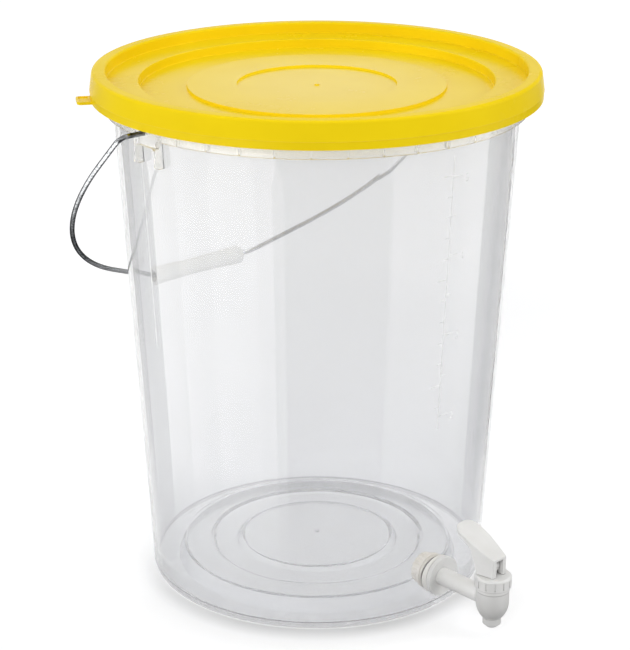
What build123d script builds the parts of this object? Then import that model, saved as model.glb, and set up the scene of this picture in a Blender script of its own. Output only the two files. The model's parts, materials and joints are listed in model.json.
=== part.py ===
"""Clear dispensing pail with a lift-off lid, a wire bail with a grip, and a lever tap. Sizes in mm."""

import os
from math import acos, atan, cos, degrees, pi, radians, sin, sqrt, tan

from build123d import *

os.makedirs("parts", exist_ok=True)

# Pail wall and floor
base_radius = 126.0
wall_flare = 0.056
wall_thickness = 3.0
pail_height = 382.4
floor_thickness = 3.0
floor_skew = 2.0
heel_width = 19.0
heel_run = 4.5
heel_rise = 12.0
field_width = 20.0
ring_run = 2.5
ring_drop = 1.5
ring_width = 18.0
disc_run = 4.0
disc_rise = 3.5
base_edge_radius = 2.0
floor_corner_radius = 3.0
gate_radius = 1.8
gate_height = 0.8

# Rim, collar, ribs and ears of the pail
collar_reach = 5.94
collar_thickness = 2.2
collar_below_pivot = 3.7
rim_wall_reach = 3.1
shoulder_drop = 11.9
shoulder_thickness = 2.5
rim_bead_reach = 3.2
rim_bead_depth = 6.0
rim_bead_slope = 2.0
rim_bead_radius = 1.8
ribs_per_side = 18
rib_thickness = 1.2
rib_start_angle = 11.8
ear_thickness = 4.5
ear_drop = 5.5
ear_corner_radius = 3.0
leg_spacing = 23.0
leg_width = 2.0
leg_drop = 14.3
leg_corner_radius = 3.0

# Lid
lid_thickness = 1.8
lid_cap_thickness = 2.0
lid_skirt_thickness = 1.3
lid_skirt_depth = 19.1
lid_skirt_draft = 2.0
lid_hem_height = 5.5
lid_hem_inset = 0.3
lid_side_gap = 0.6
lid_seat_gap = 0.3
lid_step_run = 0.6
panel_drop = 8.4
panel_width = 23.8
well_drop = 6.3
well_width = 33.3
plateau_rise = 2.0
plateau_width = 36.4
hub_drop = 1.5
lid_outer_radius = 2.4
lid_inner_radius = 1.8
lid_step_radius = 0.8
tab_angle = 151.0
tab_reach = 10.0
tab_width = 18.0
tab_thickness = 2.2
tab_border = 1.6
tab_recess = 0.7
tab_corner_radius = 3.0

# Bail and grip
wire_radius = 1.75
pivot_clearance = 0.1
pivot_below_lid = 5.1
pin_stand_off = 1.6
pin_end_gap = 0.5
bail_lid_gap = 8.8
bail_reach = 69.8
bail_shoulder_out = 17.5
bail_shoulder_depth = 137.7
bail_ear_bend = 8.0
bail_shoulder_bend = 160.0
bail_grip_bend = 28.0
bail_grip_run = 5.2
grip_length = 88.0
grip_offset = 7.0
grip_middle_radius = 6.4
grip_flare = 1.1
grip_clearance = 0.3
grip_mouth_radius = 4.9
grip_mouth_depth = 8.0
grip_edge_radius = 1.0
grip_wall_gap = 0.4

# Tap barrel, flange and the fixing through the wall
tap_turn = 3.0
tap_height = 28.4
tail_radius = 7.0
tail_stand_out = 3.0
thread_clearance = 0.05
wall_hole_clearance = 0.3
washer_clearance = 0.2
washer_seat = 0.3
washer_radius = 14.4
washer_groove_width = 0.8
washer_groove_depth = 1.6
outer_washer_thickness = 4.6
inner_washer_radius = 13.0
inner_washer_thickness = 2.6
nut_flange_radius = 13.5
nut_flange_thickness = 2.6
nut_body_radius = 11.8
nut_body_length = 6.4
nut_notches = 18
nut_notch_radius = 0.8
flange_radius = 15.0
flange_thickness = 3.0
flange_dish_depth = 1.4
flange_lip_width = 1.2
barrel_radius = 6.6
barrel_bore_radius = 4.0

# Tap head and spout
head_reach = 55.6
bulb_radius = 11.9
bulb_drop = 0.96
bulb_curve = 18.0
nozzle_radius = 6.65
nozzle_length = 7.0
nozzle_chamfer_width = 2.6
nozzle_chamfer_height = 2.4
nozzle_bore_radius = 3.2
neck_ring_radius = 12.3
neck_ring_height = 8.8
neck_ring_thickness = 2.4
neck_radius = 10.3
neck_length = 5.2
cavity_radius = 9.0
cavity_drop = 6.2
seat_lip_radius = 5.4
seat_lip_height = 1.4

# Bonnet ring
bonnet_radius = 13.3
bonnet_gap = 0.5
bonnet_seat_gap = 0.1
bonnet_roof = 3.8
bonnet_edge = 1.2
bonnet_grooves = 13
bonnet_groove_turn = 14.3
bonnet_groove_width = 1.0
bonnet_groove_depth = 0.6
bonnet_groove_margin = 1.0

# Stem, seat cup and spring
stem_radius = 2.5
stem_clearance = 0.08
stem_collar_radius = 5.6
stem_collar_height = 3.6
stem_collar_thickness = 1.2
stem_knob_radius = 3.4
stem_knob_length = 1.6
stem_eye_radius = 3.2
stem_eye_width = 5.4
cup_radius = 6.8
cup_lip_thickness = 1.5
cup_body_radius = 5.2
cup_height = 6.0
cup_floor = 2.0
cup_clearance = 0.05
cup_seat_gap = 0.1
spring_radius = 4.2
spring_wire_radius = 0.45
spring_turns = 5
spring_end_gap = 0.05

# Lever and its pin
lever_gap = 0.3
lever_pin_radius = 1.25
lever_pin_clearance = 0.05
lever_pin_fit = 0.02
lever_pin_inset = 0.3
lever_pin_cover = 1.2
block_front = 5.9
block_back = 7.35
block_drop = 6.6
block_rise = 7.3
block_half_width = 6.85
block_back_lean = 18.0
block_edge_radius = 1.0
slot_half_width = 3.6
slot_back = 5.6
slot_roof = 5.5
paddle_reach = 31.4
paddle_slope = 23.7
paddle_thickness = 2.9
paddle_half_width = 10.35
paddle_full_reach = 12.8
paddle_tip_radius = 8.6
paddle_heel_radius = 9.0
paddle_edge_radius = 0.7


def wall_radius(height):
    """Outer radius of the pail's wall at a height above the ground."""
    return base_radius + wall_flare * height


def inner_radius(height):
    """Inner radius of the pail's wall at a height above the ground."""
    return wall_radius(height) - wall_thickness


def corner(sketch, *places):
    """The corners of a sketch nearest to the places given in its own plane."""
    return [sketch.vertices().sort_by_distance(place)[0] for place in places]


# Heights of the lid, the bail's pivot and the collar, worked down from the rim
ceiling_z = pail_height + lid_seat_gap
lid_top_z = ceiling_z + lid_cap_thickness
lid_bottom_z = lid_top_z - lid_skirt_depth
pivot_z = lid_bottom_z - pivot_below_lid
collar_bottom_z = pivot_z - collar_below_pivot
ear_bottom_z = collar_bottom_z - ear_drop
leg_bottom_z = ear_bottom_z - leg_drop
shoulder_top_z = pail_height - shoulder_drop
shoulder_z = shoulder_top_z - shoulder_thickness

# Radii of the rim and the lid, worked out from the wall
collar_radius = wall_radius(collar_bottom_z) + collar_reach
collar_inner = collar_radius - collar_thickness
rim_wall_radius = collar_radius + rim_wall_reach
rim_wall_inner = rim_wall_radius - collar_thickness
rim_radius = rim_wall_radius + rim_bead_reach
rim_bead_z = pail_height - rim_bead_depth
channel_inner = rim_wall_inner - lid_side_gap
lid_rim_inner = channel_inner - lid_thickness
skirt_inner = rim_radius + lid_side_gap
skirt_outer = skirt_inner + lid_skirt_thickness
lid_foot_radius = skirt_outer + lid_skirt_draft
lid_hem_radius = lid_foot_radius - lid_hem_inset
lid_hem_top_z = lid_bottom_z + lid_hem_height

# Floor steps from the heel in to the raised disc, and their underside
field_z = floor_thickness + heel_rise
ring_z = field_z - ring_drop
disc_z = ring_z + disc_rise
heel_inner = base_radius - heel_width
field_outer = heel_inner - heel_run
field_inner = field_outer - field_width
ring_outer = field_inner - ring_run
ring_inner = ring_outer - ring_width
disc_radius = ring_inner - disc_run
floor_top = [
    (heel_inner, floor_thickness),
    (field_outer, field_z),
    (field_inner, field_z),
    (ring_outer, ring_z),
    (ring_inner, ring_z),
    (disc_radius, disc_z),
]
floor_underside = [(r - floor_skew, z - floor_thickness) for r, z in reversed(floor_top)]

# Directions and planes of the tap
outward = Vector(sin(radians(tap_turn)), -cos(radians(tap_turn)), 0)
sideways = Vector(cos(radians(tap_turn)), sin(radians(tap_turn)), 0)
tap_origin = outward * wall_radius(tap_height) + Vector(0, 0, tap_height)
head_centre = tap_origin + outward * head_reach
barrel_axis = Axis(tap_origin, outward)
head_axis = Axis(head_centre, Vector(0, 0, 1))
tap_face = Plane(tap_origin, x_dir=sideways, z_dir=outward)
tap_section = Plane(tap_origin, x_dir=outward, z_dir=-sideways)
head_section = Plane(head_centre, x_dir=outward, z_dir=-sideways)
head_plan = Plane(head_centre, x_dir=outward, z_dir=(0, 0, 1))

# Places along the barrel, measured outward from the wall
flange_front = outer_washer_thickness + flange_thickness
inner_washer_face = -wall_thickness - inner_washer_thickness
nut_flange_face = inner_washer_face - nut_flange_thickness
nut_end = nut_flange_face - nut_body_length
tail_end = nut_end - tail_stand_out

# Heights in the tap's head, measured from the barrel's axis
bulb_centre = bulb_radius - bulb_curve
bulb_turn = acos((nozzle_radius - bulb_centre) / bulb_curve)
nozzle_top = -bulb_drop - bulb_curve * sin(bulb_turn)
nozzle_bottom = nozzle_top - nozzle_length
neck_ring_top = neck_ring_height + neck_ring_thickness
neck_top = neck_ring_top + neck_length
seat_top = seat_lip_height - cavity_drop
bonnet_bottom = neck_ring_top + bonnet_gap
bonnet_ceiling = neck_top + bonnet_seat_gap
bonnet_top = bonnet_ceiling + bonnet_roof
pin_height = bonnet_top + lever_gap + block_drop
stem_collar_top = stem_collar_height + stem_collar_thickness
cup_bottom = seat_top + cup_seat_gap
cup_top = cup_bottom + cup_height
knob_bottom = cup_bottom + cup_floor
knob_top = knob_bottom + stem_knob_length

# The ear on the right: a plate in the collar between two thin legs
leg_gap = leg_spacing - leg_width
ear_foot = 2 * ear_corner_radius
with BuildPart() as ear:
    with BuildSketch(Plane.YZ.offset(collar_radius - ear_thickness)) as ear_outline:
        with Locations((0, ear_bottom_z)):
            Rectangle(leg_spacing, shoulder_z - ear_bottom_z, align=(Align.CENTER, Align.MIN))
            Rectangle(leg_spacing, ear_foot, align=(Align.CENTER, Align.MAX))
            Rectangle(leg_gap, ear_foot, align=(Align.CENTER, Align.MAX), mode=Mode.SUBTRACT)
        fillet(
            corner(ear_outline, (-leg_gap / 2, ear_bottom_z), (leg_gap / 2, ear_bottom_z)),
            ear_corner_radius,
        )
    extrude(amount=ear_thickness)
    for side in (-1, 1):
        with BuildSketch(Plane.XZ.offset(side * leg_spacing / 2)) as leg_outline:
            with BuildLine():
                Polyline(
                    (wall_radius(leg_bottom_z) - wall_thickness / 2, leg_bottom_z),
                    (collar_radius, leg_bottom_z),
                    (collar_radius, shoulder_z),
                    (wall_radius(shoulder_z) - wall_thickness / 2, shoulder_z),
                    close=True,
                )
            make_face()
            fillet(corner(leg_outline, (collar_radius, leg_bottom_z)), leg_corner_radius)
        extrude(amount=leg_width / 2, both=True)
    Cylinder(
        collar_radius,
        pail_height,
        align=(Align.CENTER, Align.CENTER, Align.MIN),
        mode=Mode.INTERSECT,
    )

# The pail: one turned wall, floor, shoulder and collar, with ribs, ears and the tap's hole
pin_end = wall_radius(pivot_z) + pin_stand_off
with BuildPart() as bucket_shell:
    with BuildSketch(Plane.XZ) as pail_profile:
        with BuildLine():
            Polyline(
                (0, disc_z - floor_thickness),
                *floor_underside,
                (base_radius, 0),
                (wall_radius(shoulder_z), shoulder_z),
                (collar_inner, shoulder_z),
                (collar_inner, collar_bottom_z),
                (collar_radius, collar_bottom_z),
                (collar_radius, shoulder_z),
                (rim_wall_radius, shoulder_z),
                (rim_wall_radius, rim_bead_z),
                (rim_radius, rim_bead_z + rim_bead_slope),
                (rim_radius, pail_height),
                (rim_wall_inner, pail_height),
                (rim_wall_inner, shoulder_top_z),
                (inner_radius(shoulder_top_z), shoulder_top_z),
                (inner_radius(floor_thickness), floor_thickness),
                *floor_top,
                (gate_radius, disc_z),
                (gate_radius, disc_z + gate_height),
                (0, disc_z + gate_height),
                close=True,
            )
        make_face()
        fillet(corner(pail_profile, (base_radius, 0)), base_edge_radius)
        fillet(
            corner(pail_profile, (inner_radius(floor_thickness), floor_thickness)),
            floor_corner_radius,
        )
        fillet(corner(pail_profile, (rim_radius, pail_height)), rim_bead_radius)
    revolve(axis=Axis.Z)
    with Locations((0, 0, collar_bottom_z)):
        for start in (rib_start_angle, 180 + rib_start_angle):
            with PolarLocations(
                wall_radius(collar_bottom_z) - wall_thickness / 2,
                ribs_per_side,
                start_angle=start,
                angular_range=180 - 2 * rib_start_angle,
                endpoint=True,
            ):
                Box(
                    collar_reach + wall_thickness / 2 - collar_thickness / 2,
                    rib_thickness,
                    shoulder_z - collar_bottom_z + shoulder_thickness / 2,
                    align=(Align.MIN, Align.CENTER, Align.MIN),
                )
    add(ear.part)
    mirror(ear.part, about=Plane.YZ)
    for side in (-1, 1):
        hole_start = side * (pin_end - pin_end_gap)
        with Locations(Location((hole_start, 0, pivot_z), (0, side * 90, 0))):
            Cylinder(
                wire_radius + pivot_clearance,
                2 * ear_thickness,
                align=(Align.CENTER, Align.CENTER, Align.MIN),
                mode=Mode.SUBTRACT,
            )
    with BuildSketch(tap_face):
        Circle(tail_radius + wall_hole_clearance)
    extrude(amount=wall_thickness * 2, both=True, mode=Mode.SUBTRACT)

# The lid: one turned cap with a skirt over the rim, and a lift tab
panel_z = lid_top_z - panel_drop
well_z = panel_z - well_drop
plateau_z = well_z + plateau_rise
hub_z = plateau_z - hub_drop
panel_inner = lid_rim_inner - panel_width
well_inner = panel_inner - well_width
plateau_inner = well_inner - plateau_width
lid_upper_side = [
    (0, hub_z + gate_height),
    (gate_radius, hub_z + gate_height),
    (gate_radius, hub_z),
    (plateau_inner, hub_z),
    (plateau_inner + lid_step_run, plateau_z),
    (well_inner - lid_step_run, plateau_z),
    (well_inner, well_z),
    (panel_inner, well_z),
    (panel_inner + lid_step_run, panel_z),
    (lid_rim_inner, panel_z),
    (lid_rim_inner, lid_top_z),
]
lid_skirt = [
    (skirt_outer, lid_top_z),
    (lid_foot_radius, lid_hem_top_z),
    (lid_hem_radius, lid_hem_top_z),
    (lid_hem_radius, lid_bottom_z),
    (skirt_inner + lid_skirt_draft, lid_bottom_z),
    (skirt_inner, ceiling_z),
]
lid_underside = [
    (channel_inner, ceiling_z),
    (channel_inner, panel_z - lid_thickness),
    (panel_inner + lid_step_run + lid_thickness, panel_z - lid_thickness),
    (panel_inner + lid_thickness, well_z - lid_thickness),
    (well_inner - lid_thickness, well_z - lid_thickness),
    (well_inner - lid_thickness - lid_step_run, plateau_z - lid_thickness),
    (plateau_inner + lid_step_run + lid_thickness, plateau_z - lid_thickness),
    (plateau_inner + lid_thickness, hub_z - lid_thickness),
    (0, hub_z - lid_thickness),
]
with BuildPart() as lid:
    with BuildSketch(Plane.XZ) as lid_profile:
        with BuildLine():
            Polyline(*lid_upper_side, *lid_skirt, *lid_underside, close=True)
        make_face()
        fillet(corner(lid_profile, (skirt_outer, lid_top_z)), lid_outer_radius)
        fillet(corner(lid_profile, (lid_rim_inner, lid_top_z)), lid_inner_radius)
        fillet(
            corner(
                lid_profile,
                (lid_rim_inner, panel_z),
                (panel_inner + lid_step_run, panel_z),
                (panel_inner, well_z),
            ),
            lid_step_radius,
        )
    revolve(axis=Axis.Z)
    tab_sink = lid_skirt_thickness / 2
    with BuildSketch(Plane.XY.offset(lid_bottom_z)) as tab_outline:
        with PolarLocations(lid_hem_radius - tab_sink, 1, start_angle=tab_angle):
            Rectangle(
                tab_reach + tab_sink,
                tab_width,
                align=(Align.MIN, Align.CENTER),
            )
        fillet(tab_outline.vertices().sort_by_distance((0, 0))[-2:], tab_corner_radius)
    extrude(amount=tab_thickness)
    with BuildSketch(Plane.XY.offset(lid_bottom_z + tab_thickness)) as tab_hollow:
        with PolarLocations(lid_hem_radius + tab_border, 1, start_angle=tab_angle):
            Rectangle(
                tab_reach - 2 * tab_border,
                tab_width - 2 * tab_border,
                align=(Align.MIN, Align.CENTER),
            )
        fillet(
            tab_hollow.vertices().sort_by_distance((0, 0))[-2:],
            tab_corner_radius - tab_border,
        )
    extrude(amount=-tab_recess, mode=Mode.SUBTRACT)

# How far the bail hangs below level when its grip lies against the wall
wall_lean = atan(wall_flare)
bail_depth = wall_radius(pivot_z) + bail_reach
grip_stand = grip_middle_radius + grip_wall_gap
bail_rest = wall_lean + acos((wall_radius(pivot_z) * cos(wall_lean) + grip_stand) / bail_depth)
bail_plane = Plane(
    (0, 0, pivot_z),
    x_dir=(1, 0, 0),
    z_dir=(0, sin(bail_rest), cos(bail_rest)),
)
grip_centre = bail_plane.from_local_coords((-grip_offset, bail_depth, 0))
grip_section = Plane(grip_centre, x_dir=(1, 0, 0), z_dir=bail_plane.z_dir)
grip_axis = Axis(grip_centre, (1, 0, 0))

# The bail: one wire with turned-in ends, wide shoulders and a straight middle
bail_half = lid_foot_radius + bail_lid_gap
bail_side = [
    (pin_end, 0),
    (bail_half, 0),
    (bail_half + bail_shoulder_out, bail_shoulder_depth),
    (grip_length / 2 + bail_grip_run, bail_depth),
]
bail_bends = [bail_ear_bend, bail_shoulder_bend, bail_grip_bend]
with BuildPart() as bail_wire:
    with BuildLine(bail_plane):
        bail_path = FilletPolyline(
            *[(-x, y) for x, y in bail_side],
            *reversed(bail_side),
            radius=[*bail_bends, *reversed(bail_bends)],
        )
    with BuildSketch(Plane(bail_path @ 0, z_dir=bail_path % 0)):
        Circle(wire_radius)
    sweep(path=bail_path)

# The grip: a waisted tube with wide mouths
grip_half = grip_length / 2
grip_bore = wire_radius + grip_clearance
grip_end_radius = grip_middle_radius + grip_flare
with BuildPart() as grip:
    with BuildSketch(grip_section) as grip_profile:
        with BuildLine():
            Polyline(
                (-grip_half, grip_end_radius),
                (-grip_half, grip_mouth_radius),
                (grip_mouth_depth - grip_half, grip_mouth_radius),
                (grip_mouth_depth - grip_half, grip_bore),
                (grip_half - grip_mouth_depth, grip_bore),
                (grip_half - grip_mouth_depth, grip_mouth_radius),
                (grip_half, grip_mouth_radius),
                (grip_half, grip_end_radius),
            )
            ThreePointArc(
                (grip_half, grip_end_radius),
                (0, grip_middle_radius),
                (-grip_half, grip_end_radius),
            )
        make_face()
        fillet(
            corner(grip_profile, (-grip_half, grip_end_radius), (grip_half, grip_end_radius)),
            grip_edge_radius,
        )
    revolve(axis=grip_axis)

# The tap's body: tail, flange and barrel about one axis, head and spout about the other
with BuildPart() as tap_body:
    with BuildSketch(tap_section):
        with BuildLine():
            Polyline(
                (tail_end, 0),
                (tail_end, tail_radius),
                (outer_washer_thickness, tail_radius),
                (outer_washer_thickness, flange_radius),
                (flange_front, flange_radius),
                (flange_front, flange_radius - flange_lip_width),
                (flange_front - flange_dish_depth, barrel_radius),
                (head_reach, barrel_radius),
                (head_reach, 0),
                close=True,
            )
        make_face()
    revolve(axis=barrel_axis)
    with BuildSketch(head_section):
        with BuildLine():
            Polyline(
                (0, nozzle_bottom),
                (nozzle_radius - nozzle_chamfer_width, nozzle_bottom),
                (nozzle_radius, nozzle_bottom + nozzle_chamfer_height),
                (nozzle_radius, nozzle_top),
            )
            ThreePointArc(
                (nozzle_radius, nozzle_top),
                (
                    bulb_centre + bulb_curve * cos(bulb_turn / 2),
                    -bulb_drop - bulb_curve * sin(bulb_turn / 2),
                ),
                (bulb_radius, -bulb_drop),
            )
            Polyline(
                (bulb_radius, -bulb_drop),
                (bulb_radius, neck_ring_height),
                (neck_ring_radius, neck_ring_height),
                (neck_ring_radius, neck_ring_top),
                (neck_radius, neck_ring_top),
                (neck_radius, neck_top),
                (0, neck_top),
                (0, nozzle_bottom),
            )
        make_face()
    revolve(axis=head_axis)
    with BuildSketch(head_section):
        with BuildLine():
            Polyline(
                (0, neck_top),
                (cavity_radius, neck_top),
                (cavity_radius, -cavity_drop),
                (seat_lip_radius, -cavity_drop),
                (seat_lip_radius, seat_top),
                (nozzle_bore_radius, seat_top),
                (nozzle_bore_radius, nozzle_bottom),
                (0, nozzle_bottom),
                close=True,
            )
        make_face()
    revolve(axis=head_axis, mode=Mode.SUBTRACT)
    with BuildSketch(tap_face.offset(tail_end)):
        Circle(barrel_bore_radius)
    extrude(amount=head_reach - cavity_radius / 2 - tail_end, mode=Mode.SUBTRACT)

# The outer washer, grooved under the flange and cut to the wall it lies on
washer_neck_radius = washer_radius - washer_groove_depth
with BuildPart() as outer_washer:
    with BuildSketch(tap_section):
        with BuildLine():
            Polyline(
                (-wall_thickness, tail_radius + washer_clearance),
                (outer_washer_thickness, tail_radius + washer_clearance),
                (outer_washer_thickness, washer_neck_radius),
                (outer_washer_thickness - washer_groove_width, washer_neck_radius),
                (outer_washer_thickness - washer_groove_width, washer_radius),
                (-wall_thickness, washer_radius),
                close=True,
            )
        make_face()
    revolve(axis=barrel_axis)
    Cone(
        wall_radius(0) + washer_seat,
        wall_radius(pail_height) + washer_seat,
        pail_height,
        align=(Align.CENTER, Align.CENTER, Align.MIN),
        mode=Mode.SUBTRACT,
    )

# The inner washer, cut to the inside of the wall
with BuildPart() as inner_washer:
    with BuildSketch(tap_face.offset(inner_washer_face)):
        Circle(inner_washer_radius)
        Circle(tail_radius + washer_clearance, mode=Mode.SUBTRACT)
    extrude(amount=inner_washer_thickness + wall_thickness)
    Cone(
        inner_radius(0) - washer_seat,
        inner_radius(pail_height) - washer_seat,
        pail_height,
        align=(Align.CENTER, Align.CENTER, Align.MIN),
        mode=Mode.INTERSECT,
    )

# The backing nut: a flange with a notched body
with BuildPart() as backing_nut:
    with BuildSketch(tap_face.offset(nut_flange_face)):
        Circle(nut_flange_radius)
    extrude(amount=nut_flange_thickness)
    with BuildSketch(tap_face.offset(nut_end)):
        Circle(nut_body_radius)
        with PolarLocations(nut_body_radius, nut_notches):
            Circle(nut_notch_radius, mode=Mode.SUBTRACT)
    extrude(amount=nut_body_length)
    with BuildSketch(tap_face.offset(nut_end)):
        Circle(tail_radius + thread_clearance)
    extrude(amount=nut_body_length + nut_flange_thickness, mode=Mode.SUBTRACT)

# The bonnet ring: a grooved cap screwed on the neck, with a hole for the stem
with BuildPart() as bonnet_ring:
    with BuildSketch(head_section):
        with BuildLine():
            Polyline(
                (stem_radius + stem_clearance, bonnet_ceiling),
                (neck_radius + thread_clearance, bonnet_ceiling),
                (neck_radius + thread_clearance, bonnet_bottom),
                (bonnet_radius, bonnet_bottom),
                (bonnet_radius, bonnet_top - bonnet_edge),
                (bonnet_radius - bonnet_edge, bonnet_top),
                (stem_radius + stem_clearance, bonnet_top),
                close=True,
            )
        make_face()
    revolve(axis=head_axis)
    with BuildSketch(head_plan.offset(bonnet_bottom + bonnet_groove_margin)):
        with PolarLocations(bonnet_radius, bonnet_grooves, start_angle=bonnet_groove_turn):
            Rectangle(2 * bonnet_groove_depth, bonnet_groove_width)
    extrude(
        amount=bonnet_top - bonnet_edge - bonnet_bottom - 2 * bonnet_groove_margin,
        mode=Mode.SUBTRACT,
    )

# The stem: a rod with a knob for the cup, a collar for the spring and an eye for the pin
with BuildPart() as valve_stem:
    with BuildSketch(head_section):
        with BuildLine():
            Polyline(
                (0, knob_bottom),
                (stem_knob_radius, knob_bottom),
                (stem_knob_radius, knob_top),
                (stem_radius, knob_top),
                (stem_radius, stem_collar_height),
                (stem_collar_radius, stem_collar_height),
                (stem_collar_radius, stem_collar_top),
                (stem_radius, stem_collar_top),
                (stem_radius, pin_height - stem_eye_radius),
                (0, pin_height - stem_eye_radius),
                close=True,
            )
        make_face()
    revolve(axis=head_axis)
    with BuildSketch(head_section):
        with Locations((0, pin_height)):
            Circle(stem_eye_radius)
            Rectangle(
                2 * stem_radius,
                stem_eye_radius,
                align=(Align.CENTER, Align.MAX),
            )
            Circle(lever_pin_radius + lever_pin_clearance, mode=Mode.SUBTRACT)
    extrude(amount=stem_eye_width / 2, both=True)

# The seat cup: a soft disc on a socket that holds the stem's knob
with BuildPart() as seat_cup:
    with BuildSketch(head_section):
        with BuildLine():
            Polyline(
                (0, cup_bottom),
                (cup_radius, cup_bottom),
                (cup_radius, cup_bottom + cup_lip_thickness),
                (cup_body_radius, cup_bottom + cup_lip_thickness),
                (cup_body_radius, cup_top),
                (stem_radius + cup_clearance, cup_top),
                (stem_radius + cup_clearance, knob_top + cup_clearance),
                (stem_knob_radius + cup_clearance, knob_top + cup_clearance),
                (stem_knob_radius + cup_clearance, knob_bottom - cup_clearance),
                (0, knob_bottom - cup_clearance),
                close=True,
            )
        make_face()
    revolve(axis=head_axis)

# The spring: one wire in pairs of tangent arcs, a quarter turn to each pair
spring_bottom = stem_collar_top + spring_wire_radius + spring_end_gap
spring_pitch = (bonnet_ceiling - spring_wire_radius - spring_end_gap - spring_bottom) / spring_turns


def coil_point(turn):
    """Middle of the spring's wire after a number of turns."""
    around = 2 * pi * turn
    return head_centre + Vector(
        spring_radius * cos(around),
        spring_radius * sin(around),
        spring_bottom + spring_pitch * turn,
    )


def coil_direction(turn):
    """Direction of the spring's wire after a number of turns."""
    around = 2 * pi * turn
    climb = spring_pitch / (2 * pi)
    return Vector(-spring_radius * sin(around), spring_radius * cos(around), climb).normalized()


with BuildPart() as valve_spring:
    with BuildLine() as coil:
        for step in range(4 * spring_turns):
            start, end = coil_point(step / 4), coil_point((step + 1) / 4)
            leave, arrive = coil_direction(step / 4), coil_direction((step + 1) / 4)
            chord = end - start
            spread = 1 - leave.dot(arrive)
            along = chord.dot(leave + arrive)
            reach = (sqrt(along**2 + 2 * spread * chord.dot(chord)) - along) / (2 * spread)
            handle_start, handle_end = start + leave * reach, end - arrive * reach
            middle = (handle_start + handle_end) * 0.5
            TangentArc(start, middle, tangent=leave)
            TangentArc(middle, end, tangent=handle_end - handle_start)
    with BuildSketch(Plane(coil_point(0), z_dir=coil_direction(0))):
        Circle(spring_wire_radius)
    sweep(path=coil.wires()[0])

coil_samples = [coil_point(turn / 48) for turn in range(48 * spring_turns + 1)]
coil_gap = min(
    (coil_samples[later] - coil_samples[earlier]).length
    for earlier in range(len(coil_samples))
    for later in range(earlier + 24, len(coil_samples))
)
print("least gap between the spring's coils", round(coil_gap - 2 * spring_wire_radius, 3))

# The lever: a slotted block with a sloping paddle, turned back over the barrel
paddle_fall = tan(radians(paddle_slope))
paddle_depth = paddle_thickness / cos(radians(paddle_slope))
paddle_tip_rise = block_rise + (block_front + paddle_reach) * paddle_fall
back_lean = tan(radians(block_back_lean))
under_rise = block_rise + block_front * paddle_fall - paddle_depth
heel_height = (under_rise + block_drop + block_back * paddle_fall) / (1 - back_lean * paddle_fall)
heel_point = (-block_back - back_lean * heel_height, heel_height - block_drop)
pin_centre = head_centre + Vector(0, 0, pin_height)
pin_section = Plane(pin_centre, x_dir=outward, z_dir=-sideways)
pin_plan = Plane(pin_centre, x_dir=outward, z_dir=(0, 0, 1))
block_taper = (paddle_half_width - block_half_width) / (block_front + paddle_full_reach)
block_side = block_half_width + block_taper * block_front
pin_stop = block_half_width - lever_pin_cover
with BuildPart() as lever:
    with BuildSketch(pin_section) as lever_side:
        with BuildLine():
            Polyline(
                (block_front, -block_drop),
                (block_front, block_rise),
                (-paddle_reach, paddle_tip_rise),
                (-paddle_reach, paddle_tip_rise - paddle_depth),
                heel_point,
                (-block_back, -block_drop),
                close=True,
            )
        make_face()
        fillet(corner(lever_side, heel_point), paddle_heel_radius)
    extrude(amount=paddle_half_width, both=True)
    with BuildSketch(pin_plan.offset(-block_drop)) as lever_plan:
        with BuildLine():
            Polyline(
                (block_front, -block_half_width),
                (block_front, block_half_width),
                (-paddle_full_reach, paddle_half_width),
                (-paddle_reach, paddle_half_width),
                (-paddle_reach, -paddle_half_width),
                (-paddle_full_reach, -paddle_half_width),
                close=True,
            )
        make_face()
        fillet(lever_plan.vertices().group_by(Axis.X)[0], paddle_tip_radius)
    extrude(amount=block_drop + paddle_tip_rise, mode=Mode.INTERSECT)
    front_edges = lever.edges().filter_by(Axis.Z).sort_by(Axis(head_centre, outward))[-2:]
    fillet(front_edges, block_edge_radius)
    thumb_place = pin_section.from_local_coords((0, under_rise + paddle_depth))
    thumb_face = lever.faces().sort_by_distance(thumb_place)[0]
    fillet(thumb_face.edges(), paddle_edge_radius)
    with BuildSketch(pin_plan.offset(-block_drop)):
        with Locations((-slot_back, 0)):
            Rectangle(
                slot_back + 2 * block_front,
                2 * slot_half_width,
                align=(Align.MIN, Align.CENTER),
            )
    extrude(amount=block_drop + slot_roof, mode=Mode.SUBTRACT)
    with BuildSketch(pin_section.offset(pin_stop + lever_pin_fit)):
        Circle(lever_pin_radius + lever_pin_fit)
    extrude(amount=-pin_stop - 2 * paddle_half_width, mode=Mode.SUBTRACT)

# The lever's pin, pushed in from one side up to a stop
with BuildPart() as lever_pin:
    with BuildSketch(pin_section.offset(pin_stop)):
        Circle(lever_pin_radius)
    extrude(amount=lever_pin_inset - pin_stop - block_side)

pieces = {
    "bucket_shell": bucket_shell,
    "lid": lid,
    "bail_wire": bail_wire,
    "grip": grip,
    "tap_body": tap_body,
    "outer_washer": outer_washer,
    "inner_washer": inner_washer,
    "backing_nut": backing_nut,
    "bonnet_ring": bonnet_ring,
    "valve_stem": valve_stem,
    "seat_cup": seat_cup,
    "valve_spring": valve_spring,
    "lever": lever,
    "lever_pin": lever_pin,
}
for name, piece in pieces.items():
    piece.part.label = name
    export_step(piece.part, f"parts/{name}.step")

print("bail hangs", round(degrees(bail_rest), 3), "degrees below level about height", round(pivot_z, 3))
print("tap head at", [round(v, 4) for v in head_centre], "pin height", round(pin_height, 4))
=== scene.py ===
"""Looks of the clear dispensing pail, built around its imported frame. Metres, Z up."""

import json
from math import cos, pi, radians, sin

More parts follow.
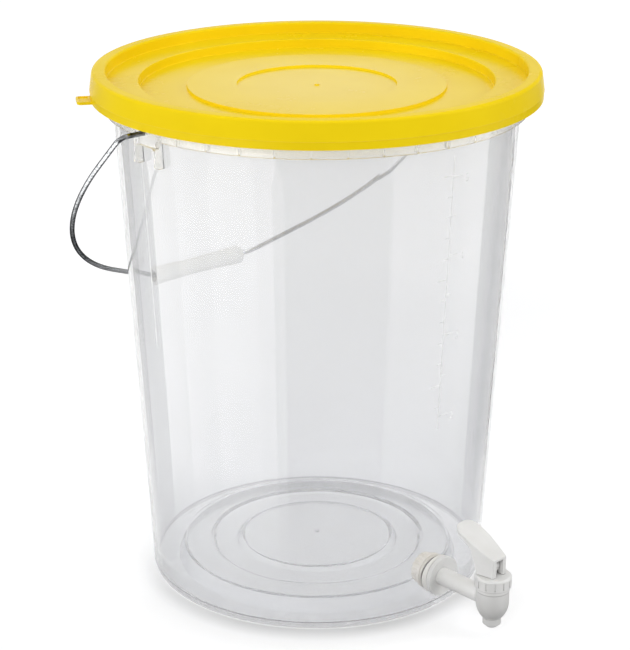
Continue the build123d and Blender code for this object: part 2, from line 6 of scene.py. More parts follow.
import bpy
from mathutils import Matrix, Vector


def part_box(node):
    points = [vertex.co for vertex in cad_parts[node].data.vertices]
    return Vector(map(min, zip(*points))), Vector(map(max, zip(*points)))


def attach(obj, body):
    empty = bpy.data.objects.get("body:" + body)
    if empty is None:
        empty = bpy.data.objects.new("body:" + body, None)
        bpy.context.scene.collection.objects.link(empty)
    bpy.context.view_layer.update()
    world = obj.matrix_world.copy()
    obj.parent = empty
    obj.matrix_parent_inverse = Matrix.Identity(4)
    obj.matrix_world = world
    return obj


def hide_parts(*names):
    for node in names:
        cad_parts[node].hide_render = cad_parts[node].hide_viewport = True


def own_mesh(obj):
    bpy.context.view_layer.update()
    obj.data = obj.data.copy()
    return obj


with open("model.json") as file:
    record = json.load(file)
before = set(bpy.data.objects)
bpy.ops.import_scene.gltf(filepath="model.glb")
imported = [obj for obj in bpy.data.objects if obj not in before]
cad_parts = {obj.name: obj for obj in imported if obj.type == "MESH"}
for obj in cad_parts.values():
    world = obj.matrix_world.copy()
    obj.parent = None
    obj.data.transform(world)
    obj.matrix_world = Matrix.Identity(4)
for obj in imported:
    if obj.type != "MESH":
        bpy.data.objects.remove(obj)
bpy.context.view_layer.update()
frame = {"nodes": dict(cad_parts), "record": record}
nodes = frame["nodes"]
joints = {joint["name"]: joint for joint in frame["record"]["behaviour"]["joints"]}
scene = bpy.context.scene
scene.view_settings.view_transform = "Standard"

# Pail wall
base_radius = 0.126
wall_flare = 0.056
wall_thickness = 0.003
floor_rise = 0.017
foot_line = 0.0055
collar_bottom = 0.3568

# Tap head
tap_head_reach = 0.0135
neck_ring_drop = 0.0029
spout_root = 0.017


# Node helpers

def feed(tree, node, inputs):
    """Links a node's inputs to other nodes, or sets their plain values. Colours are three numbers."""
    for name, value in inputs.items():
        socket = node.inputs[name]
        if isinstance(value, bpy.types.NodeSocket):
            tree.links.new(value, socket)
        elif socket.type == "RGBA":
            socket.default_value = (*value, 1.0)
        else:
            socket.default_value = value


def add(tree, kind, inputs=None, **settings):
    """A new node in a tree, with its settings and its plain or linked inputs."""
    made = tree.nodes.new(kind)
    for name, value in settings.items():
        setattr(made, name, value)
    feed(tree, made, inputs or {})
    return made


def calc(tree, operation, first, second=0.0, clamp=False):
    made = add(tree, "ShaderNodeMath", {0: first, 1: second}, operation=operation, use_clamp=clamp)
    return made.outputs[0]


def product(tree, first, *others):
    for other in others:
        first = calc(tree, "MULTIPLY", first, other)
    return first


def vector_calc(tree, operation, first, second=(0.0, 0.0, 0.0)):
    return add(tree, "ShaderNodeVectorMath", {0: first, 1: second}, operation=operation).outputs


def spread(tree, value, low, high, to_low=0.0, to_high=1.0):
    """Value from low..high brought to to_low..to_high, held at the ends."""
    inputs = {"Value": value, "From Min": low, "From Max": high, "To Min": to_low, "To Max": to_high}
    return add(tree, "ShaderNodeMapRange", inputs).outputs["Result"]


def blend_colours(tree, share, first, second):
    return add(tree, "ShaderNodeMix", {0: share, 6: first, 7: second}, data_type="RGBA").outputs[2]


def own_place(tree):
    """A point's place along the piece's own axes."""
    return add(tree, "ShaderNodeTexCoord").outputs["Object"]


def upward(tree):
    """How far a face looks up, from -1 to 1."""
    normal = add(tree, "ShaderNodeNewGeometry").outputs["Normal"]
    return add(tree, "ShaderNodeSeparateXYZ", {0: normal}).outputs["Z"]


def across_and_height(tree, axis=(0.0, 0.0, 0.0)):
    """How far a point is from an upright axis, and its height."""
    place = own_place(tree)
    from_axis = vector_calc(tree, "SUBTRACT", place, (axis[0], axis[1], 0.0))["Vector"]
    level = vector_calc(tree, "MULTIPLY", from_axis, (1.0, 1.0, 0.0))["Vector"]
    height = add(tree, "ShaderNodeSeparateXYZ", {0: place}).outputs["Z"]
    return vector_calc(tree, "LENGTH", level)["Value"], height


def noise(tree, size, detail=3.0, roughness=0.5, stretch=(1.0, 1.0, 1.0)):
    """Noise whose patches are about size metres, along the piece's own axes."""
    linked = isinstance(size, bpy.types.NodeSocket)
    squeezed = add(tree, "ShaderNodeMapping", {"Vector": own_place(tree), "Scale": stretch})
    inputs = {
        "Vector": squeezed.outputs["Vector"],
        "Scale": calc(tree, "DIVIDE", 1.0, size) if linked else 1.0 / size,
        "Detail": detail,
        "Roughness": roughness,
    }
    return add(tree, "ShaderNodeTexNoise", inputs).outputs["Fac"]


def new_group(name, inputs, outputs):
    group = bpy.data.node_groups.new(name, "ShaderNodeTree")
    for label, kind, value in inputs:
        group.interface.new_socket(label, in_out="INPUT", socket_type=kind).default_value = value
    for label, kind in outputs:
        group.interface.new_socket(label, in_out="OUTPUT", socket_type=kind)
    return group, add(group, "NodeGroupInput").outputs, add(group, "NodeGroupOutput")


def empty_material(name):
    made = bpy.data.materials.new(name)
    made.use_nodes = True
    made.node_tree.nodes.clear()
    return made, made.node_tree


def new_material(name):
    """A material with a Principled shader on its output: the material, its tree and the shader."""
    made, tree = empty_material(name)
    shader = add(tree, "ShaderNodeBsdfPrincipled")
    add(tree, "ShaderNodeOutputMaterial", {"Surface": shader.outputs["BSDF"]}, name="out")
    return made, tree, shader


# Object helpers

def new_mesh(name, corners, faces):
    mesh = bpy.data.meshes.new(name)
    mesh.from_pydata(corners, [], faces)
    return mesh


def new_object(name, held):
    made = bpy.data.objects.new(name, held)
    scene.collection.objects.link(made)
    return made


def at_azimuth(azimuth, distance, height=0.0):
    return (distance * cos(radians(azimuth)), distance * sin(radians(azimuth)), height)


# Shared effects

# Most of a noise's values lie in this span
noise_span = (0.3, 0.7)


def make_moulded_skin():
    """The skin of a moulding: slow flow shading, faint grain and uneven gloss."""
    group, given, out = new_group(
        "moulded_skin",
        [
            ("Colour", "NodeSocketColor", (0.8, 0.8, 0.8, 1.0)),
            ("Flow Colour", "NodeSocketColor", (0.7, 0.7, 0.7, 1.0)),
            ("Flow Size", "NodeSocketFloat", 0.06),
            ("Grain Size", "NodeSocketFloat", 0.0008),
            ("Gloss Low", "NodeSocketFloat", 0.2),
            ("Gloss High", "NodeSocketFloat", 0.35),
        ],
        [("Colour", "NodeSocketColor"), ("Roughness", "NodeSocketFloat"), ("Height", "NodeSocketFloat")],
    )
    flow_span = (0.35, 0.68)
    flow = spread(group, noise(group, given["Flow Size"], detail=4.0), *flow_span)
    patches = spread(group, noise(group, given["Flow Size"], detail=6.0, roughness=0.65), *noise_span)
    gloss_range = calc(group, "SUBTRACT", given["Gloss High"], given["Gloss Low"])
    feed(group, out, {
        "Colour": blend_colours(group, flow, given["Colour"], given["Flow Colour"]),
        "Roughness": calc(group, "ADD", given["Gloss Low"], product(group, patches, gloss_range)),
        "Height": noise(group, given["Grain Size"], detail=2.0),
    })
    return group


def make_fine_scratches():
    """Short fine scratches that run two ways: a mask."""
    group, given, out = new_group(
        "fine_scratches",
        [("Length", "NodeSocketFloat", 0.02), ("Share", "NodeSocketFloat", 0.04)],
        [("Mask", "NodeSocketFloat")],
    )
    noise_top, sharpness = 0.74, 12.0
    upright, level = (14.0, 14.0, 1.0), (1.5, 1.5, 20.0)
    masks = []
    for stretch in (upright, level):
        lines = noise(group, given["Length"], detail=2.0, roughness=0.4, stretch=stretch)
        least = calc(group, "SUBTRACT", noise_top, given["Share"])
        above = calc(group, "SUBTRACT", lines, least)
        masks.append(calc(group, "MULTIPLY", above, sharpness, clamp=True))
    feed(group, out, {"Mask": calc(group, "MAXIMUM", masks[0], masks[1])})
    return group


moulded_skin = make_moulded_skin()
fine_scratches = make_fine_scratches()


# Moulded plastics and rubbers

# Reach and spans of the painted shade in inner corners and the painted highlights on outer edges
corner_reach = 0.0025
corner_span = (0.1, 0.55)
open_span = (0.7, 0.95)
edge_radius = 0.0007
edge_span = (0.85, 0.97)
grain_height = 0.00001
# Colour of the painted shade in corners, under the tap's joints and low on its head
painted_shade_colour = (0.2, 0.19, 0.18)


def moulded(name, colour, flow_colour, gloss, flow_size=0.06, grain_size=0.0008,
            corner_share=0.0, corner_colour=painted_shade_colour, edge_share=0.0, edge_colour=(1.0, 1.0, 1.0)):
    """A moulded plastic or rubber, with painted shade in its inner corners and painted highlights on its
    outer edges.
    """
    made, tree, shader = new_material(name)
    given = {
        "Colour": colour,
        "Flow Colour": flow_colour,
        "Flow Size": flow_size,
        "Grain Size": grain_size,
        "Gloss Low": gloss[0],
        "Gloss High": gloss[1],
    }
    skin = add(tree, "ShaderNodeGroup", given, node_tree=moulded_skin).outputs
    shown = skin["Colour"]
    if corner_share or edge_share:
        hollows = add(tree, "ShaderNodeAmbientOcclusion", {"Distance": corner_reach}, samples=8)
        opened = hollows.outputs["AO"]
    # Painted shade: inner corners darkened where ambient occlusion finds them closed in
    if corner_share:
        corner = spread(tree, opened, *corner_span, corner_share, 0.0)
        shown = blend_colours(tree, corner, shown, corner_colour)
    # Painted highlight: outer edges lightened where the bevelled normal turns from the face's own
    if edge_share:
        straight = add(tree, "ShaderNodeNewGeometry").outputs["Normal"]
        rounded = add(tree, "ShaderNodeBevel", {"Radius": edge_radius}, samples=6).outputs["Normal"]
        alike = vector_calc(tree, "DOT_PRODUCT", straight, rounded)["Value"]
        turned = spread(tree, alike, *edge_span, edge_share, 0.0)
        edge = product(tree, turned, spread(tree, opened, *open_span))
        shown = blend_colours(tree, edge, shown, edge_colour)
    grain = {"Height": skin["Height"], "Distance": grain_height, "Strength": 1.0}
    feed(tree, shader, {
        "Base Color": shown,
        "Roughness": skin["Roughness"],
        "Normal": add(tree, "ShaderNodeBump", grain).outputs["Normal"],
    })
    return made, tree, shader


def make_yellow_plastic():
    """The lid's plastic: panels that shine less outwards and on the rim, painted shade in its inner
    corners and painted highlights on its edges.
    """
    made, tree, shader = moulded(
        "yellow_plastic", (0.905, 0.667, 0.008), (0.86, 0.622, 0.007), (0.2, 0.3),
        # corner_colour is the painted shade in its corners, edge_colour the painted highlight on its
        # edges
        corner_share=0.5, corner_colour=(0.62, 0.36, 0.002),
        edge_share=0.4, edge_colour=(0.95, 0.78, 0.2),
    )
    middle_radius, outer_radius = 0.03, 0.13
    rim_depth, rim_fade = 0.003, 0.001
    middle_shine, outer_shine, rim_share = 0.65, 0.23, 0.15
    level_span = (0.7, 0.95)
    lid_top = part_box("lid")[1][2]
    across, height = across_and_height(tree)
    flat = spread(tree, upward(tree), *level_span)
    outwards = spread(tree, across, middle_radius, outer_radius, middle_shine, outer_shine)
    below_rim = spread(tree, height, lid_top - rim_depth, lid_top - rim_fade, 1.0, rim_share)
    feed(tree, shader, {
        "Coat Weight": product(tree, flat, outwards, below_rim),
        "Coat Roughness": 0.2,
        "Specular IOR Level": 0.02,
    })
    return made


def make_white_plastic():
    """The tap's plastic: painted shade in its inner corners, painted highlights on its edges, painted
    shadow lines under the joints round its head, and painted shade on the head that deepens low down.
    """
    made, tree, shader = moulded(
        "white_plastic", (0.75, 0.747, 0.737), (0.7, 0.697, 0.683), (0.28, 0.4), 0.02, 0.0006,
        corner_share=0.8, edge_share=0.5, edge_colour=(0.88, 0.877, 0.865),
    )
    line_share, line_depth, line_fade = 0.55, 0.0012, 0.0004
    low_head_shade, high_head_shade, spout_head_shade = 0.45, 0.06, 0.5
    bonnet_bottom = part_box("bonnet_ring")[0][2]
    neck_bottom = bonnet_bottom - neck_ring_drop
    across, height = across_and_height(tree, joints["lever_turn"]["pos_m"])
    shown = shader.inputs["Base Color"].links[0].from_socket
    # Painted shadow lines just under the bonnet and under the neck ring
    for line_top in (bonnet_bottom, neck_bottom):
        line = product(
            tree,
            spread(tree, height, line_top - line_depth, line_top - line_fade),
            calc(tree, "LESS_THAN", height, line_top),
            calc(tree, "LESS_THAN", across, tap_head_reach),
            line_share,
        )
        shown = blend_colours(tree, line, shown, painted_shade_colour)
    # Painted shade on the tap's head, deeper low down and half as deep on the spout
    head_shade = product(
        tree,
        spread(tree, height, spout_root + 0.001, neck_bottom, low_head_shade, high_head_shade),
        spread(tree, height, spout_root - 0.0005, spout_root, spout_head_shade, 1.0),
        calc(tree, "LESS_THAN", height, neck_bottom),
        spread(tree, across, tap_head_reach - 0.001, tap_head_reach, 1.0, 0.0),
    )
    feed(tree, shader, {"Base Color": blend_colours(tree, head_shade, shown, painted_shade_colour)})
    return made


# Clear plastic

# Tints of the clear wall. The greying from high_tint down to low_tint, the steep tint and the foot tints
# are painted shade; the rim tint lifts the wall to clear at its very edge
low_tint, high_tint = (0.827, 0.829, 0.838), (0.87, 0.872, 0.878)
collar_tint = (0.93, 0.9, 0.8)
steep_tint, rim_tint = (0.73, 0.734, 0.743), (1.0, 1.0, 1.0)
rib_tint = (0.98, 0.97, 0.935)
foot_tint, foot_line_tint = (0.5, 0.5, 0.505), (0.25, 0.25, 0.255)
rib_span = (0.0006, 0.0012)
low_height, high_height = 0.05, 0.2
steep_span, rim_span = (0.45, 0.7), (0.73, 0.79)
haze_size, haze_span, haze_roughness = 0.08, (0.35, 0.75), (0.01, 0.03)
scratch_roughness, frost_roughness = 0.06, 0.2


def clear_roughness(tree, height, rib):
    """Faint haze and scratches, with frost on the ribs and below the floor."""
    scratches = add(tree, "ShaderNodeGroup", {"Length": 0.03, "Share": 0.02}, node_tree=fine_scratches)
    haze = spread(tree, noise(tree, haze_size), *haze_span, *haze_roughness)
    marked = calc(tree, "ADD", haze, product(tree, scratches.outputs["Mask"], scratch_roughness))
    under_floor = spread(tree, height, floor_rise, floor_rise + 0.004, frost_roughness, 0.0)
    frost = calc(tree, "MAXIMUM", under_floor, product(tree, rib, frost_roughness))
    return calc(tree, "ADD", marked, frost)


def clear_tint(tree, across, height, proud, rib):
    """The wall's tint, warm on the collar, with painted shade: greyer low down, darker where the wall
    turns away but clear again at its very edge, and darker on the outside of the foot with a darker line
    along its top.
    """
    tint = blend_colours(tree, spread(tree, height, low_height, high_height), low_tint, high_tint)
    collar = spread(tree, height, collar_bottom - 0.002, collar_bottom + 0.002)
    tint = blend_colours(tree, collar, tint, collar_tint)
    # Painted shade where the wall turns away from view, lifted to clear again at its very edge
    turned = add(tree, "ShaderNodeLayerWeight", {"Blend": 0.5}).outputs["Facing"]
    outwards = spread(tree, proud, -1.5 * wall_thickness, -1.2 * wall_thickness)
    on_wall = product(tree, outwards, spread(tree, height, foot_line, foot_line + 0.004))
    steep = product(tree, spread(tree, turned, *steep_span), on_wall)
    tint = blend_colours(tree, steep, tint, steep_tint)
    rim = product(tree, spread(tree, turned, *rim_span), on_wall)
    tint = blend_colours(tree, rim, tint, rim_tint)
    tint = blend_colours(tree, rib, tint, rib_tint)
    # Painted shade on the outside of the foot, with a darker painted line along the foot's top
    up = upward(tree)
    sideways = product(tree, spread(tree, up, -0.95, -0.8), spread(tree, up, 0.3, 0.6, 1.0, 0.0))
    outer = product(tree, spread(tree, across, base_radius - 0.0026, base_radius - 0.002), sideways)
    foot = product(tree, spread(tree, height, foot_line, foot_line + 0.0005, 1.0, 0.0), outer)
    tint = blend_colours(tree, foot, tint, foot_tint)
    line = product(tree, foot, spread(tree, height, foot_line - 0.0009, foot_line - 0.0005))
    return blend_colours(tree, line, tint, foot_line_tint)


def make_clear_plastic():
    """Clear wall: sharp to look through, slightly wavy, and it lets lamps through."""
    made, tree, shader = new_material("clear_plastic")
    across, height = across_and_height(tree)
    wall = calc(tree, "ADD", product(tree, height, wall_flare), base_radius)
    proud = calc(tree, "SUBTRACT", across, wall)
    rib = spread(tree, proud, *rib_span)
    waves = noise(tree, 0.12, detail=1.0, roughness=0.4, stretch=(1.0, 1.0, 0.35))
    wavy = add(tree, "ShaderNodeBump", {"Height": waves, "Distance": 0.0001, "Strength": 0.2})
    feed(tree, shader, {
        "Base Color": clear_tint(tree, across, height, proud, rib),
        "Roughness": clear_roughness(tree, height, rib),
        "Normal": wavy.outputs["Normal"],
        "Transmission Weight": 0.905,
        "IOR": 1.3,
    })
    lamp_tint, depth_tint = (0.87, 0.875, 0.885), (0.78, 0.79, 0.81)
    depth_density, deepest_ray = 8.0, 6.5
    path = add(tree, "ShaderNodeLightPath").outputs
    spent = calc(tree, "GREATER_THAN", path["Ray Depth"], deepest_ray)
    passed = {
        0: calc(tree, "MAXIMUM", path["Is Shadow Ray"], spent),
        1: shader.outputs["BSDF"],
        2: add(tree, "ShaderNodeBsdfTransparent", {"Color": lamp_tint}).outputs["BSDF"],
    }
    depth = add(tree, "ShaderNodeVolumeAbsorption", {"Color": depth_tint, "Density": depth_density})
    feed(tree, tree.nodes["out"], {
        "Surface": add(tree, "ShaderNodeMixShader", passed).outputs["Shader"],
        "Volume": depth.outputs["Volume"],
    })
    return made


def make_mark_plastic():
    """Moulded ridges on the clear wall, seen through, with a painted highlight that makes them a little
    whiter than it.
    """
    made, tree, shader = new_material("mark_plastic")
    patches = noise(tree, 0.006)
    # Painted highlight: the ridges a little whiter than the wall, in patches
    ridge_highlight = spread(tree, patches, *noise_span)
    feed(tree, shader, {
        "Base Color": blend_colours(tree, ridge_highlight, (0.9, 0.9, 0.9), (0.98, 0.98, 0.98)),
        "Roughness": spread(tree, patches, *noise_span, 0.2, 0.35),
        "Alpha": spread(tree, patches, *noise_span, 0.55, 0.8),
    })
    return made


# Steel wire

def make_bright_wire():
    """Drawn wire: dark, with lengthwise streaks and a painted highlight near the grip and along one arm.
    """
    made, tree, shader = new_material("bright_wire")
    dark_steel, pale_steel = (0.06, 0.063, 0.067), (0.38, 0.385, 0.39)
    wire_highlight_colour = (0.75, 0.755, 0.76)
    streaks = noise(tree, 0.0012, roughness=0.6, stretch=(0.25, 1.0, 1.0))
    drawn = blend_colours(tree, spread(tree, streaks, *noise_span), dark_steel, pale_steel)
    # Painted highlight near the grip and along one arm
    along = add(tree, "ShaderNodeSeparateXYZ", {0: own_place(tree)}).outputs["X"]
    near_grip = spread(tree, calc(tree, "ABSOLUTE", along), 0.06, 0.15, 0.6, 0.0)
    on_arm = spread(tree, along, 0.05, 0.1, 0.0, 0.85)
    wire_highlight = calc(tree, "MAXIMUM", near_grip, on_arm)
    feed(tree, shader, {
        "Base Color": blend_colours(tree, wire_highlight, drawn, wire_highlight_colour),
        "Roughness": spread(tree, streaks, *noise_span, 0.1, 0.2),
        "Metallic": 1.0,
        "Specular Tint": (0.03, 0.03, 0.033),
    })
    return made


# Finishes of the CAD pieces

white_grip, _, _ = moulded(
    "white_grip", (0.88, 0.87, 0.84), (0.83, 0.82, 0.79), (0.34, 0.46), 0.02, 0.0006,
)
# Painted shade in the inner corners of the rubbers and the beige plastic, by corner_share
pale_rubber, _, _ = moulded(
    "pale_rubber", (0.8, 0.79, 0.76), (0.74, 0.73, 0.7), (0.5, 0.65), 0.012, 0.0004, corner_share=0.8,
)
beige_rubber, _, _ = moulded(
    "beige_rubber", (0.74, 0.71, 0.65), (0.69, 0.65, 0.59), (0.5, 0.65), 0.012, 0.0004, corner_share=0.6,
)
beige_plastic, _, _ = moulded(
    "beige_plastic", (0.8, 0.77, 0.71), (0.75, 0.71, 0.65), (0.36, 0.5), 0.012, 0.0005, corner_share=0.35,
)
mark_plastic = make_mark_plastic()
finishes = {
    "clear_plastic": make_clear_plastic(),
    "yellow_plastic": make_yellow_plastic(),
    "bright_wire": make_bright_wire(),
    "white_grip": white_grip,
    "white_plastic": make_white_plastic(),
    "pale_rubber": pale_rubber,
    "beige_rubber": beige_rubber,
    "beige_plastic": beige_plastic,
}
for subpart in frame["record"]["subparts"]:
    slots = nodes[subpart["node"]].data.materials
    slots.clear()
    slots.append(finishes[subpart["material_slot"]])


# Closing spring of the tap

def make_closing_spring():
    """The coil in the tap's head: a copy of the CAD spring, carried by the valve's turn in its place."""
    spring = new_object("closing_spring", nodes["valve_spring"].data.copy())
    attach(spring, "valve_turn")
    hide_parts("valve_spring")
    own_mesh(spring)


make_closing_spring()


# Moulded marks on the wall

mark_width = 0.0007
mark_rise = 0.00015
mark_root = 0.0001
seam_turn = 174.3
seam_bottom, seam_top = 0.2005, 0.336
scale_turn = -90.8
scale_bottom, scale_top = 0.1474, 0.348
short_tick, long_tick = 0.0042, 0.0085
empty_height = 0.0227
small_measure = 0.000915
large_measure = 0.003464
small_ticks = range(8, 20)
half_large_ticks = range(4, 11)
digit_gap = 0.0035
digit_width, digit_height = 0.0028, 0.0052
digit_strokes = {
    2: [(0.0, 0.8), (0.25, 1.0), (0.75, 1.0), (1.0, 0.75), (0.0, 0.0), (1.0, 0.0)],
    3: [(0.0, 1.0), (1.0, 1.0), (0.45, 0.6), (1.0, 0.35), (0.75, 0.0), (0.25, 0.0), (0.0, 0.15)],
    4: [(0.75, 0.0), (0.75, 1.0), (0.0, 0.3), (1.0, 0.3)],
    5: [(1.0, 1.0), (0.1, 1.0), (0.0, 0.55), (0.7, 0.6), (1.0, 0.3), (0.7, 0.0), (0.0, 0.1)],
}


def wall_radius(height):
    return base_radius + wall_flare * height


def mark_height(volume):
    """Height at which the pail, filled from the empty height, holds a volume."""
    cubed = (wall_radius(empty_height) - wall_thickness) ** 3 + 3 * wall_flare * volume / pi
    return (cubed ** (1 / 3) - base_radius + wall_thickness) / wall_flare


def scale_strokes():
    """The filling scale: a line, small measures on its left, large ones with digits on its right."""
    strokes = [[(0.0, scale_bottom), (0.0, scale_top)]]
    for count in small_ticks:
        height = mark_height(count * small_measure)
        run = long_tick if count % 5 == 4 else short_tick
        strokes.append([(-run, height), (-run / 2, height), (0.0, height)])
    for halves in half_large_ticks:
        height = mark_height(halves * large_measure / 2)
        run = short_tick if halves % 2 else long_tick
        strokes.append([(0.0, height), (run / 2, height), (run, height)])
        if halves % 2 == 0:
            left, low = run + digit_gap, height - digit_height
            strokes.append([
                (left + across * digit_width, low + up * digit_height)
                for across, up in digit_strokes[halves // 2]
            ])
    return strokes


def make_wall_marks(name, turn, strokes):
    """Low ridges on the outer wall along strokes of points: metres across from a turn, and height."""
    section = ((-1, -mark_root / 2), (0, mark_rise), (1, -mark_root / 2), (0, -mark_root))
    corners, faces = [], []
    for stroke in strokes:
        first = len(corners)
        for index, (across, height) in enumerate(stroke):
            before, after = stroke[max(index - 1, 0)], stroke[min(index + 1, len(stroke) - 1)]
            way = Vector((after[0] - before[0], after[1] - before[1])).normalized()
            aside = Vector((way.y, -way.x)) * (mark_width / 2)
            for shift, proud in section:
                up = height + shift * aside.y
                out = wall_radius(up) + proud
                at = radians(turn) + (across + shift * aside.x) / wall_radius(up)
                corners.append((out * cos(at), out * sin(at), up))
        for index in range(len(stroke) - 1):
            ring = first + 4 * index
            for side in range(4):
                other = (side + 1) % 4
                faces.append((ring + side, ring + other, ring + 4 + other, ring + 4 + side))
        last = len(corners) - 4
        faces.append((first + 3, first + 2, first + 1, first))
        faces.append((last, last + 1, last + 2, last + 3))
    mesh = new_mesh(name, corners, faces)
    mesh.materials.append(mark_plastic)
    piece = new_object(name, mesh)
    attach(piece, "pail")


make_wall_marks("filling_scale", scale_turn, scale_strokes())
make_wall_marks("wall_seam", seam_turn, [[(0.0, seam_bottom), (0.0, seam_top)]])


# Floor and world

camera_azimuth = 230.0
floor_half = 8.0
near_floor, middle_floor, far_floor = 0.6, 2.0, 4.0
near_level, middle_level, far_lift = 0.58, 0.69, 0.35
wide_reach, wide_shade, wide_facing = 0.04, 0.32, (0.3, 0.95)
close_start, close_reach, close_shade, close_facing = 0.004, 0.018, 0.32, (-0.2, 0.5)
mirrored_start, mirrored_reach, mirrored_shade = 0.008, 0.03, 0.25
lamp_sky, seen_sky = 0.4, 1.0


def seen_directly(tree):
    """1 for rays of the camera, of reflections and of what is seen through the pail."""
    path = add(tree, "ShaderNodeLightPath").outputs
    first = calc(tree, "MAXIMUM", path["Is Camera Ray"], path["Is Glossy Ray"])
    return calc(tree, "MAXIMUM", first, path["Is Transmission Ray"])


def floor_level(tree):
    """How bright the floor looks: paler far away, and shaded round the front of the pail's foot."""
    place = own_place(tree)
    away = vector_calc(tree, "LENGTH", place)["Value"]
    near = spread(tree, away, near_floor, middle_floor, near_level, middle_level)
    far = spread(tree, away, middle_floor, far_floor, 0.0, far_lift)
    level = calc(tree, "ADD", near, far)
    to_front = vector_calc(tree, "DOT_PRODUCT", place, at_azimuth(camera_azimuth, 1.0))["Value"]
    facing = calc(tree, "DIVIDE", to_front, away)
    path = add(tree, "ShaderNodeLightPath").outputs
    mirrored = calc(tree, "MAXIMUM", path["Is Glossy Ray"], path["Is Transmission Ray"])
    wide = spread(tree, away, base_radius, base_radius + wide_reach, wide_shade, 0.0)
    wide = product(tree, wide, spread(tree, facing, *wide_facing, 0.1, 1.0))
    close = spread(tree, away, base_radius + close_start, base_radius + close_reach, close_shade, 0.0)
    low, high = base_radius + mirrored_start, base_radius + mirrored_reach
    in_pail = spread(tree, away, low, high, mirrored_shade, 0.0)
    close = calc(tree, "ADD", close, product(tree, in_pail, mirrored))
    close = product(tree, close, spread(tree, facing, *close_facing))
    outside = spread(tree, away, base_radius - 0.003, base_radius + 0.001)
    shade = product(tree, calc(tree, "ADD", wide, close), outside)
    return product(tree, level, calc(tree, "SUBTRACT", 1.0, shade, clamp=True))


def make_floor():
    made, tree = empty_material("pale_floor")
    colour = blend_colours(tree, noise(tree, 0.3), (0.49, 0.495, 0.505), (0.51, 0.51, 0.515))
    matt = add(tree, "ShaderNodeBsdfDiffuse", {"Color": colour})
    level = product(tree, seen_directly(tree), floor_level(tree))
    glow = add(tree, "ShaderNodeEmission", {"Strength": level})
    both = add(tree, "ShaderNodeAddShader", {0: matt.outputs[0], 1: glow.outputs[0]})
    add(tree, "ShaderNodeOutputMaterial", {"Surface": both.outputs[0]})
    corners = [(across * floor_half, along * floor_half, 0.0)
               for across, along in ((-1, -1), (1, -1), (1, 1), (-1, 1))]
    mesh = new_mesh("floor", corners, [(0, 1, 2, 3)])
    mesh.materials.append(made)
    new_object("floor", mesh)


def make_world():
    world = bpy.data.worlds.new("studio")
    world.use_nodes = True
    tree = world.node_tree
    tree.nodes.clear()
    strength = spread(tree, seen_directly(tree), 0.0, 1.0, lamp_sky, seen_sky)
    sky = add(tree, "ShaderNodeBackground", {"Color": (1.0, 1.0, 1.0), "Strength": strength})
    add(tree, "ShaderNodeOutputWorld", {"Surface": sky.outputs[0]})
    scene.world = world


make_floor()
make_world()


# Cards on the floor

card_start, card_reach, card_steps = 0.035, 2.4, 24
card_height = 0.001
card_fade, card_near, card_far = 0.2, 0.05, 0.6
card_patch, card_unevenness = 0.4, 0.04
beside_level = 0.8


def card_tone(tree, strength, near_share):
    """A card's brightness, with a share of its own near the pail, where it fades in beside the foot."""
    low, high = (1.0 - card_unevenness) * strength, (1.0 + card_unevenness) * strength
    away = vector_calc(tree, "LENGTH", own_place(tree))["Value"]
    share = spread(tree, away, base_radius + card_near, base_radius + card_far, near_share, 1.0)
    tone = product(tree, spread(tree, noise(tree, card_patch), *noise_span, low, high), share)
    plain = spread(tree, away, base_radius + card_start, base_radius + card_fade, 1.0, 0.0)
    return calc(tree, "ADD", tone, product(tree, plain, calc(tree, "SUBTRACT", beside_level, tone)))


def add_floor_card(name, wall_from, wall_to, strength, near_share):
    """A card seen only in reflections, which the wall shows between two turns from the camera."""
    corners, faces = [], []
    for step in range(card_steps + 1):
        turn = radians(wall_from + (wall_to - wall_from) * step / card_steps)
        foot, away = radians(camera_azimuth) + turn, radians(camera_azimuth) + 2 * turn
        for run in (card_start, card_reach):
            across = base_radius * cos(foot) + run * cos(away)
            along = base_radius * sin(foot) + run * sin(away)
            corners.append((across, along, card_height))
    for first in range(0, 2 * card_steps, 2):
        faces.append((first, first + 1, first + 3, first + 2))
    made, tree = empty_material(name)
    glow = add(tree, "ShaderNodeEmission", {"Strength": card_tone(tree, strength, near_share)})
    add(tree, "ShaderNodeOutputMaterial", {"Surface": glow.outputs[0]})
    mesh = new_mesh(name, corners, faces)
    mesh.materials.append(made)
    card = new_object(name, mesh)
    for use in ("camera", "diffuse", "transmission", "volume_scatter", "shadow"):
        setattr(card, "visible_" + use, False)


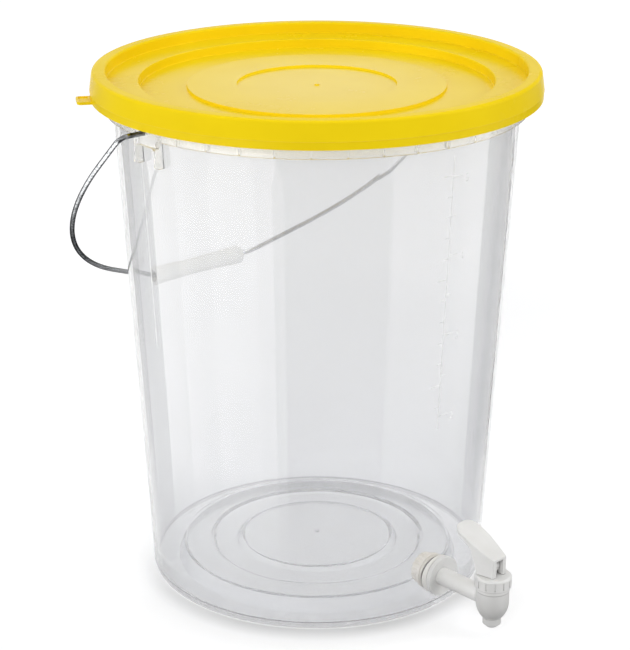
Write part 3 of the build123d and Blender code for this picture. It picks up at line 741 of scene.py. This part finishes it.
# Name, turns of the wall from and to, strength and near share
add_floor_card("back_left_card", -82.0, -74.0, 1.1, 1.0)
add_floor_card("back_left_flag", -73.5, -67.0, 0.2, 3.0)
add_floor_card("left_flag", -67.0, -55.5, 0.8, 1.8)
add_floor_card("left_card", -55.0, -44.0, 3.7, 0.8)
add_floor_card("left_middle_card", -44.0, -32.0, 5.0, 0.8)
add_floor_card("left_front_card", -32.0, -17.5, 6.5, 0.8)
add_floor_card("left_edge_card", -17.5, -12.5, 5.0, 0.9)
add_floor_card("left_step_card", -12.5, -9.5, 2.2, 1.0)
add_floor_card("front_flag", -9.0, 21.0, 0.05, 1.0)
add_floor_card("right_card", 22.0, 56.0, 2.6, 0.25)
add_floor_card("back_right_flag", 56.5, 77.0, 0.1, 1.0)


# Lamps

lamp_aim = Vector((0.0, 0.0, 0.2))


def add_softbox(name, azimuth, distance, height, width, tall, power, in_reflections=True):
    """A soft lamp at an azimuth seen from the pail, turned to it."""
    lamp = bpy.data.lights.new(name, "AREA")
    lamp.shape = "RECTANGLE"
    lamp.size = width
    lamp.size_y = tall
    lamp.energy = power
    stand = new_object(name, lamp)
    stand.location = at_azimuth(azimuth, distance, height)
    stand.rotation_euler = (lamp_aim - stand.location).to_track_quat("-Z", "Y").to_euler()
    stand.visible_camera = False
    stand.visible_glossy = in_reflections


# Name, azimuth, distance, height, width, height of the lamp's face and watts
add_softbox("left_softbox", camera_azimuth - 80.0, 2.5, 1.2, 1.6, 1.8, 17.0)
add_softbox("right_softbox", camera_azimuth + 85.0, 2.6, 1.2, 1.4, 1.8, 27.0)
add_softbox("back_softbox", camera_azimuth + 150.0, 1.2, 3.0, 2.4, 2.0, 19.0)
add_softbox("front_softbox", camera_azimuth - 15.0, 3.3, 2.2, 2.2, 1.6, 66.0, in_reflections=False)


# Camera

camera_distance = 1.3889
camera_height = 0.6995
camera_pitch = 20.249
lens = bpy.data.cameras.new("camera")
lens.lens = 109.63
lens.sensor_width = 36.0
lens.shift_x = -0.00297
camera = new_object("camera", lens)
camera.location = at_azimuth(camera_azimuth, camera_distance, camera_height)
camera.rotation_euler = (radians(90.0 - camera_pitch), 0.0, radians(camera_azimuth - 270.0))
scene.camera = camera
